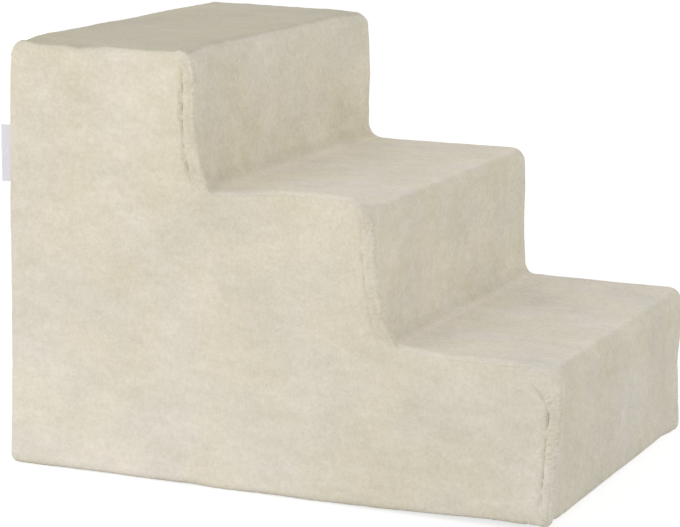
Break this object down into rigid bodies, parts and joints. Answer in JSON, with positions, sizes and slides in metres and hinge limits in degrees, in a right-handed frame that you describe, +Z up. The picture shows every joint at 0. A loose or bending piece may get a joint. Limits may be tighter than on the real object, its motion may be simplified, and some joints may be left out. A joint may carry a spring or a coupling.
{
  "type": "pet stairs",
  "caption": "Three-step foam pet stairs in a fitted cream plush cover, with a zip across the back and a ribbon tag in the side seam.",
  "frame": {"origin": "on the floor, under the middle of the stairs' plan, the tag and the zip pull left out", "axes": "+Z up; -Y towards the lowest step, where a pet starts to climb; +Y towards the tall back; X along the width"},
  "size_m": [0.35, 0.4626, 0.34],
  "materials": {
    "plush": "matte",
    "foam": "matte",
    "non_slip_cloth": "matte",
    "zip_tape": "matte",
    "zip_coil": "satin",
    "zip_metal": "satin",
    "ribbon": "satin"
  },
  "bodies": {
    "stairs": {"core_slab_lower": "foam", "core_slab_middle": "foam", "core_slab_upper": "foam", "step_panel": "plush", "side_panel_left": "plush", "side_panel_right": "plush", "back_panel_upper": "plush", "back_panel_lower": "plush", "base_panel": "non_slip_cloth", "zip_tape_upper": "zip_tape", "zip_tape_lower": "zip_tape", "zip_coil_upper": "zip_coil", "zip_coil_lower": "zip_coil", "zip_stop_closed": "zip_metal", "zip_stop_open": "zip_metal", "side_tag": "ribbon"},
    "slider": {"zip_slider": "zip_metal"},
    "pull": {"zip_pull": "zip_metal"}
  },
  "joints": [
    {"name": "zip_slide", "type": "slide", "parent": "stairs", "child": "slider", "axis": [-1, 0, 0], "range_m": [0, 0.3126]},
    {"name": "pull_flip", "type": "hinge", "parent": "slider", "child": "pull", "pos_m": [0.1563, 0.2258, 0.048], "axis": [0, 0, -1], "range_deg": [0, 165]}
  ]
}
